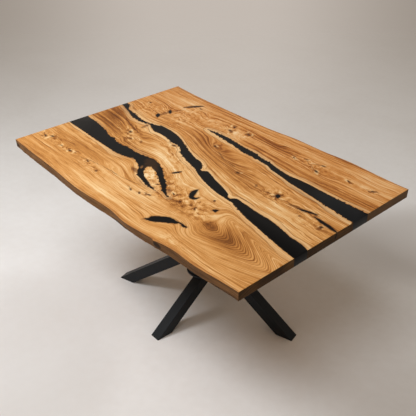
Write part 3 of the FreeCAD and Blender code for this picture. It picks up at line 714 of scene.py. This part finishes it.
def black_resin():
    """Cast black resin, sanded and polished to a soft gloss."""
    material, sheet = finish("black_resin")
    place = sheet.place()
    x, y, _ = sheet.parts(place)
    cloud = sheet.noise(place, 5.0)
    speck = sheet.rise(sheet.noise(place, 260.0), 0.66, 0.80)
    grit = sheet.sway(place, 90.0, 3.0)
    haze = sheet.sway(place, 14.0, 3.0)
    colour = sheet.mix(cloud, paint(2, 2, 3), paint(5, 6, 7))
    # Painted reflection: paler patches where the gloss mirrors the bright room.
    colour = sheet.mix(toned_ovals(x, y, RESIN_PAINTED_REFLECTIONS), colour, paint(24, 26, 28))
    amber = oval(x + cloud * 0.03 + grit * 0.02, y + grit * 0.02, RESIN_AMBER)
    colour = sheet.mix(amber * (0.65 + grit), colour, paint(60, 38, 19))
    chip = oval(x + grit * 0.016, y - grit * 0.012, RESIN_CHIP)
    colour = sheet.mix(chip * (0.6 + grit * 2.0), colour, paint(146, 100, 56))
    colour = sheet.mix(speck * 0.2, colour, paint(40, 39, 38))
    relief = sheet.bump(sheet.noise(place, 35.0), 0.0002, 0.15)
    rough = 0.30 + haze * 0.12 + speck * 0.05
    sheet.surface({"Base Color": colour, "Roughness": rough, "Normal": relief, "Specular IOR Level": 0.10})
    return material


def black_steel():
    """Black powder coat, a little cloudy, with its fine orange peel and some dust."""
    material, sheet = finish("black_steel")
    place = sheet.place()
    peel = sheet.sway(place, 520.0)
    cloud = sheet.sway(place, 6.0, 3.0)
    dust = sheet.rise(sheet.noise(place, 900.0, 1.0), 0.68, 0.80)
    colour = sheet.mix(0.5 + cloud, paint(19, 21, 24), paint(30, 33, 36))
    colour = sheet.mix(dust * 0.2, colour, paint(60, 60, 60))
    relief = sheet.bump(peel, 0.0003, 0.35)
    rough = 0.46 + cloud * 0.12 + peel * 0.10
    sheet.surface({"Base Color": colour, "Roughness": rough, "Normal": relief, "Specular IOR Level": 0.18})
    return material


def plated(name, dark, pale, rough):
    """Turned metal with its plating: fine rings of the tool, clouded by handling."""
    material, sheet = finish(name)
    place = sheet.place()
    x, y, z = sheet.parts(place)
    turning = sheet.sway(sheet.vector(x * 40.0, y * 40.0, z * 2600.0), 1.0, 1.0)
    cloud = sheet.sway(place, 120.0, 3.0)
    colour = sheet.mix(0.5 + cloud * 1.2 + turning * 0.4, dark, pale)
    relief = sheet.bump(turning, 0.0001, 0.4)
    rough = rough + cloud * 0.2 + turning * 0.1
    sheet.surface({"Base Color": colour, "Metallic": 1.0, "Roughness": rough, "Normal": relief})
    return material


def floor_finish():
    """A pale warm-grey studio floor with faint clouds and painted light and shade, which runs out into the
    backdrop far off.
    """
    material, sheet = finish("studio_floor")
    place = sheet.place()
    x, y, _ = sheet.parts(place)
    cloud = sheet.sway(place, 1.6, 4.0, 0.55)
    fleck = sheet.sway(place, 26.0, 3.0)
    depth = (y - CAMERA_PLACE[1]) * ROOM_RIGHT[0] - (x - CAMERA_PLACE[0]) * ROOM_RIGHT[1]
    # Painted light: the floor is painted paler far off, making up for the lamps lighting it less there;
    # near the camera it is painted a little darker.
    far = sheet.rise(depth, 2.6, 3.6)
    near = sheet.rise(depth, 2.2, 1.0)
    colour = sheet.mix(near * 0.30, paint(243, 242, 240), paint(206, 198, 190))
    # Painted shade: the floor is darkened where the table's shadow is drawn farther out, and in front
    # towards the left.
    colour = sheet.mix(toned_ovals(x, y, FLOOR_PAINTED_SHADE), colour, paint(140, 126, 112))
    colour = sheet.mix(0.2 - far * 0.14 + cloud * 0.6 + fleck * 0.2, colour, paint(206, 198, 190))
    laid = sheet.rise(depth, 8.5, 3.0)
    sheet.surface({"Base Color": colour, "Roughness": 0.75, "Alpha": laid})
    return material


def deselect():
    """Leaves nothing selected."""
    bpy.ops.object.select_all(action="DESELECT")


def take_up(piece):
    """Makes a piece the one that is worked on."""
    deselect()
    piece.select_set(True)
    bpy.context.view_layer.objects.active = piece


def pick_edges(piece, wanted):
    """Selects, in edit mode, the edges for which wanted holds."""
    bpy.ops.mesh.select_mode(type="EDGE")
    bpy.ops.mesh.select_all(action="DESELECT")
    shape = bmesh.from_edit_mesh(piece.data)
    for edge in shape.edges:
        edge.select_set(wanted(edge))
    shape.select_flush_mode()
    bmesh.update_edit_mesh(piece.data)


def merged_copy(node, name):
    """A copy of a CAD node as one clean mesh."""
    piece = bpy.data.objects.new(name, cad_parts[node].data.copy())
    bpy.context.scene.collection.objects.link(piece)
    take_up(piece)
    piece.data.materials.clear()
    bpy.ops.mesh.customdata_custom_splitnormals_clear()
    bpy.ops.object.mode_set(mode="EDIT")
    bpy.ops.mesh.select_all(action="SELECT")
    bpy.ops.mesh.remove_doubles(threshold=MERGE_GAP)
    bpy.ops.mesh.dissolve_limited(angle_limit=FLAT_ANGLE)
    bpy.ops.object.mode_set(mode="OBJECT")
    return piece


def caps(node):
    """The triangles of a node's upper face, in plan."""
    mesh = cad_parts[node].data
    points = np.array([vertex.co for vertex in mesh.vertices])
    corners = np.array([face.vertices for face in mesh.polygons])
    flat = points[corners][:, :, 2].min(axis=1) > TOP_HEIGHT - NEAR_TOP
    return points[corners[flat]][:, :, :2]


def outline(triangles):
    """The edges that only one triangle has, as pairs of points."""
    edges = {}
    for triangle in triangles:
        for near, far in zip(triangle, np.roll(triangle, -1, axis=0)):
            ends = [tuple(np.round(near, EDGE_DIGITS)), tuple(np.round(far, EDGE_DIGITS))]
            key = tuple(sorted(ends))
            edges[key] = edges.get(key, 0) + 1
    return np.array([key for key, count in edges.items() if count == 1])


def outlines(nodes):
    """The outlines of the upper faces of some nodes."""
    return np.concatenate([outline(caps(node)) for node in nodes])


def distance(points, edges):
    """How far each point is, in plan, from the nearest of the edges."""
    nearest = np.full(len(points), FAR_OFF)
    for start, end in edges:
        run = end - start
        length = max(float(run @ run), TINY_LENGTH)
        share = np.clip((points - start) @ run / length, 0.0, 1.0)
        gap = points - start - share[:, None] * run
        nearest = np.minimum(nearest, np.hypot(gap[:, 0], gap[:, 1]))
    return nearest


def covered(triangles, plan_x, plan_y):
    """The cells of a plan whose middles lie in the triangles."""
    cells = np.zeros(plan_x.shape, bool)
    for a, b, c in triangles:
        area = (b[0] - a[0]) * (c[1] - a[1]) - (b[1] - a[1]) * (c[0] - a[0])
        if abs(area) < TINY_AREA:
            continue
        first = ((b[0] - plan_x) * (c[1] - plan_y) - (b[1] - plan_y) * (c[0] - plan_x)) / area
        second = ((c[0] - plan_x) * (a[1] - plan_y) - (c[1] - plan_y) * (a[0] - plan_x)) / area
        cells |= (first >= 0) & (second >= 0) & (first + second <= 1)
    return cells


def grain_field():
    """The grain as lines of one value each: they follow the live edges and part round the resin."""
    low, high = cad_box
    xs = np.arange(low[0] + FIELD_CELL / 2, high[0], FIELD_CELL)
    ys = np.arange(low[1] - FIELD_MARGIN, high[1] + FIELD_MARGIN, FIELD_CELL)
    plan_x, plan_y = np.meshgrid(xs, ys)
    fills = [covered(caps(node), plan_x, plan_y) for node in GRAIN_PARTS_ROUND]
    wood = [covered(caps(node), plan_x, plan_y) for node in SLABS]
    outside = np.abs(plan_y) > FIELD_INSIDE
    outside &= ~np.any(wood + fills, axis=0)
    field = np.where(outside, np.sign(plan_y) * FIELD_EDGE, plan_y)
    for _ in range(FIELD_SWEEPS):
        padded = np.pad(field, 1, mode="edge")
        mean = (padded[:-2, 1:-1] + padded[2:, 1:-1] + padded[1:-1, :-2] + padded[1:-1, 2:]) / 4
        field = np.where(outside, field, mean)
        for fill in fills:
            field[fill] = field[fill].mean()
    return xs, ys, field


def sample(field, points):
    """The field's value at each point, between its four cells."""
    xs, ys, values = field
    column = np.clip((points[:, 0] - xs[0]) / FIELD_CELL, 0, len(xs) - INSIDE_LAST)
    row = np.clip((points[:, 1] - ys[0]) / FIELD_CELL, 0, len(ys) - INSIDE_LAST)
    left = column.astype(int)
    below = row.astype(int)
    share_x = column - left
    share_y = row - below
    lower = values[below, left] * (1 - share_x) + values[below, left + 1] * share_x
    upper = values[below + 1, left] * (1 - share_x) + values[below + 1, left + 1] * share_x
    return lower * (1 - share_y) + upper * share_y


def hills(points, places):
    """The sum, at each point, of smooth oval hills."""
    total = np.zeros(len(points))
    for x, y, length, width, turn, height in places:
        cosine = math.cos(math.radians(turn))
        sine = math.sin(math.radians(turn))
        along = ((points[:, 0] - x) * cosine + (points[:, 1] - y) * sine) / length
        across = ((points[:, 1] - y) * cosine - (points[:, 0] - x) * sine) / width
        total += height * np.exp(-along ** 2 - across ** 2)
    return total


def smooth(value, low, high):
    """A smooth step from 0 at low to 1 at high."""
    share = np.clip((value - low) / (high - low), 0, 1)
    return share * share * (3 - 2 * share)


def fold(points, values, field, bank, place):
    """Folds the grain about a line into nested arcs, as where a growth ring is cut flat."""
    x, y, turn, back, ahead, fade, reach, closing, roundness = place
    cosine = math.cos(math.radians(turn))
    sine = math.sin(math.radians(turn))
    along = (points[:, 0] - x) * cosine + (points[:, 1] - y) * sine
    across = (points[:, 1] - y) * cosine - (points[:, 0] - x) * sine
    share = smooth(along, -back - fade, -back) * smooth(along, ahead + fade, ahead)
    share = share * smooth(across, -2 * reach, -reach) * smooth(bank, 0.0, FOLD_CLEAR)
    heart = sample(field, np.array([[x, y]]))[0]
    arcs = heart - np.hypot(across, roundness) - closing * along
    return values * (1 - share) + arcs * share


def lay_grain(piece, field, edges, folds):
    """Writes on each vertex how the grain lies there, how pale it is and how far the edges are."""
    points = np.empty(len(piece.data.vertices) * 3)
    piece.data.vertices.foreach_get("co", points)
    points = points.reshape(-1, 3)
    plan = points[:, :2]
    across = sample(field, plan) + hills(plan, SWIRLS)
    bank, void, live = [distance(plan, edges[kind]) for kind in ("bank", "void", "live")]
    sap = np.maximum(SAP_SHARE - hills(plan, TORN_BANKS), 0)
    for place in folds:
        across = fold(plan, across, field, bank, place)
    grain = np.stack([plan[:, 0], across, hills(plan, BURLS)], axis=1)
    tones = np.stack([hills(plan, PATCHES), bank, live], axis=1)
    spots = np.stack([void, sap, hills(plan, RINGS)], axis=1)
    for name, values in (("grain", grain), ("tones", tones), ("spots", spots)):
        layer = piece.data.attributes.new(name, "FLOAT_VECTOR", "POINT")
        layer.data.foreach_set("vector", values.astype(np.float32).ravel())


def cut_grid(piece):
    """Cuts a slab into small squares, and its edges into layers."""
    low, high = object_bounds()
    cuts = [((x, 0, 0), (1, 0, 0)) for x in np.arange(low[0] + SLAB_GRID, high[0], SLAB_GRID)]
    cuts += [((0, y, 0), (0, 1, 0)) for y in np.arange(low[1] + SLAB_GRID, high[1], SLAB_GRID)]
    cuts += [((0, 0, UNDERSIDE + layer), (0, 0, 1)) for layer in EDGE_LAYERS]
    take_up(piece)
    bpy.ops.object.mode_set(mode="EDIT")
    for place, normal in cuts:
        bpy.ops.mesh.select_all(action="SELECT")
        bpy.ops.mesh.bisect(plane_co=place, plane_no=normal)
    bpy.ops.object.mode_set(mode="OBJECT")


def at_end(place, normal):
    """Whether a face belongs to one of the top's two sawn ends."""
    return abs(normal.x) > END_ALONG and abs(place.x) > END - ARRIS


def share_finishes(piece, live_edges):
    """Gives the sawn ends and the live edges of a slab their own finishes."""
    middles = np.array([face.center for face in piece.data.polygons])
    near_live = distance(middles[:, :2], live_edges) < LIVE_DEPTH
    for face, live in zip(piece.data.polygons, near_live):
        if at_end(face.center, face.normal):
            face.material_index = END_OAK
        elif abs(face.normal.z) < SIDE_UPWARD and live:
            face.material_index = LIVE_OAK


def ease_arrises(piece, outer):
    """Eases the arrises of the outer sides, and the corners between them."""
    def arris(edge):
        sides = [outer(face) for face in edge.link_faces]
        flats = [abs(face.normal.z) > FLAT_UPWARD for face in edge.link_faces]
        corner = all(sides) and edge.calc_face_angle(0) > CORNER_ANGLE
        return any(sides) and (any(flats) or corner)

    take_up(piece)
    bpy.ops.object.mode_set(mode="EDIT")
    pick_edges(piece, arris)
    bpy.ops.mesh.bevel(offset=ARRIS, segments=ARRIS_STEPS)
    bpy.ops.object.mode_set(mode="OBJECT")


def hollow_live_edges(piece):
    """Shallow hollows in the live edges, as the trunk had them, and less of them at the upper rim."""
    group = piece.vertex_groups.new(name="live_edge")
    for face in piece.data.polygons:
        if face.material_index != LIVE_OAK:
            continue
        for corner in face.vertices:
            rim = piece.data.vertices[corner].co.z > TOP_HEIGHT - LIVE_RIM
            group.add([corner], RIM_SHARE if rim else 1.0, "REPLACE")
    hollows = bpy.data.textures.new("live_hollows", "CLOUDS")
    hollows.noise_scale = LIVE_HOLLOW
    hollows.noise_depth = 1
    relief = piece.modifiers.new("live_relief", "DISPLACE")
    relief.texture = hollows
    relief.texture_coords = "LOCAL"
    relief.vertex_group = group.name
    relief.strength = LIVE_RELIEF
    relief.mid_level = 1 - LIVE_OUTWARD
    take_up(piece)
    bpy.ops.object.modifier_apply(modifier=relief.name)


def dress_slab(node, field, edges, finishes):
    """An oak slab with eased arrises, hollowed live edges and its grain."""
    piece = merged_copy(node, node.replace("slab", "oak_slab"))
    cut_grid(piece)
    for material in finishes:
        piece.data.materials.append(material)
    share_finishes(piece, edges["live"])
    ease_arrises(piece, lambda face: face.material_index != FACE_OAK)
    share_finishes(piece, edges["live"])
    hollow_live_edges(piece)
    lay_grain(piece, field, edges, FOLDS if node == "front_slab" else [])
    take_up(piece)
    bpy.ops.object.shade_smooth_by_angle(angle=SMOOTH_ANGLE)
    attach(piece, "table")
    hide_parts(node)


def dress_river(node, material):
    """A river of resin with the arrises of its ends eased as the wood's are."""
    piece = merged_copy(node, node.replace("river", "resin_river"))
    piece.data.materials.append(material)
    ease_arrises(piece, lambda face: at_end(face.calc_center_median(), face.normal))
    take_up(piece)
    bpy.ops.object.shade_smooth_by_angle(angle=SMOOTH_ANGLE)
    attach(piece, "table")
    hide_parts(node)


def top_edges():
    """The edges of the upper face, in plan: the rivers' banks, the voids' rims and the live edges."""
    edges = {"bank": outlines(RIVERS), "void": outlines(FILLS)}
    slab_edges = outlines(SLABS)
    middles = slab_edges.mean(axis=1)
    live = np.abs(middles[:, 0]) < END - ON_EDGE
    live &= distance(middles, edges["bank"]) > ON_EDGE
    live &= distance(middles, edges["void"]) > ON_EDGE
    edges["live"] = slab_edges[live]
    return edges


def dress_top():
    """The two oak slabs round the resin."""
    field = grain_field()
    edges = top_edges()
    finishes = [oak_face(), oak_end(), oak_live()]
    for node in SLABS:
        dress_slab(node, field, edges, finishes)


def coat(nodes, material):
    """Gives CAD nodes their finish."""
    for node in nodes:
        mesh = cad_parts[node].data
        mesh.materials.clear()
        mesh.materials.append(material)


def studio_floor():
    """A wide floor under the table."""
    deselect()
    bpy.ops.mesh.primitive_circle_add(
        vertices=FLOOR_SIDES, radius=FLOOR_RADIUS, fill_type="NGON", location=(0, 0, 0))
    floor = bpy.context.object
    floor.name = "studio_floor"
    floor.data.materials.append(floor_finish())
    floor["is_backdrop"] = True


def soft_lamp(name, place, width, power, colour):
    """A round lamp, turned towards the table."""
    lamp = bpy.data.lights.new(name, "AREA")
    lamp.shape = "DISK"
    lamp.size = width
    lamp.energy = power
    lamp.color = colour
    holder = bpy.data.objects.new(name, lamp)
    bpy.context.scene.collection.objects.link(holder)
    way = np.array(LAMP_AIM) - np.array(place)
    turn = math.atan2(way[1], way[0]) - math.pi / 2
    tilt = math.atan2(math.hypot(way[0], way[1]), -way[2])
    holder.location = place
    holder.rotation_euler = (tilt, 0, turn)


def room_light():
    """The room's own fill, and the backdrop that is seen past the floor, with painted fall-off of light.
    """
    world = bpy.data.worlds.new("studio_room")
    bpy.context.scene.world = world
    world.use_nodes = True
    sheet = Sheet(world.node_tree)
    x, y, z = sheet.parts(sheet.node("TexCoord", {}, {}, "Generated"))
    # Painted shade: the backdrop is darker towards the sides and paler low down, as the light falls off
    # across the room.
    side = sheet.rise(abs(x * ROOM_RIGHT[0] + y * ROOM_RIGHT[1]), 0.06, 0.36)
    far = sheet.rise(z, -0.40, -0.22)
    middle = sheet.mix(far, paint(220, 211, 203), paint(195, 185, 176))
    backdrop = sheet.mix(side, middle, paint(154, 144, 134))
    rays = ("Is Camera Ray", "Is Glossy Ray", "Is Transmission Ray")
    seen = sheet.rise(sum(sheet.node("LightPath", {}, {}, ray) for ray in rays), 0.0, 1.0)
    colour = sheet.mix(seen, paint(147, 137, 125), backdrop)
    shader = sheet.node("Background", {}, {"Color": colour, "Strength": 1.0})
    sheet.node("OutputWorld", {}, {"Surface": shader})


def photo_camera():
    """The camera at the photo's place and angle."""
    pitch = math.radians(CAMERA_PITCH)
    level = math.cos(pitch)
    right = np.array([*ROOM_RIGHT, 0])
    forward = np.array([-ROOM_RIGHT[1] * level, ROOM_RIGHT[0] * level, math.sin(pitch)])
    up = np.cross(right, forward)
    lens = bpy.data.cameras.new("photo_camera")
    lens.sensor_width = SENSOR_WIDTH
    lens.lens = CAMERA_PIXELS / PICTURE_SIDE * SENSOR_WIDTH
    camera = bpy.data.objects.new("photo_camera", lens)
    bpy.context.scene.collection.objects.link(camera)
    stand = Matrix(np.column_stack([right, up, -forward]).tolist()).to_4x4()
    stand.translation = CAMERA_PLACE
    camera.matrix_world = stand
    bpy.context.scene.camera = camera


photo_camera()
studio_floor()
for lamp in LAMPS:
    soft_lamp(*lamp)
room_light()
resin = black_resin()
coat(FILLS, resin)
for river in RIVERS:
    dress_river(river, resin)
coat(STEEL_NODES, black_steel())
coat(ZINC_NODES, plated("zinc_steel", paint(150, 152, 154), paint(196, 198, 200), 0.34))
coat(BRASS_NODES, plated("brass", paint(170, 130, 66), paint(212, 176, 104), 0.32))
dress_top()
bpy.context.scene.view_settings.view_transform = "Standard"
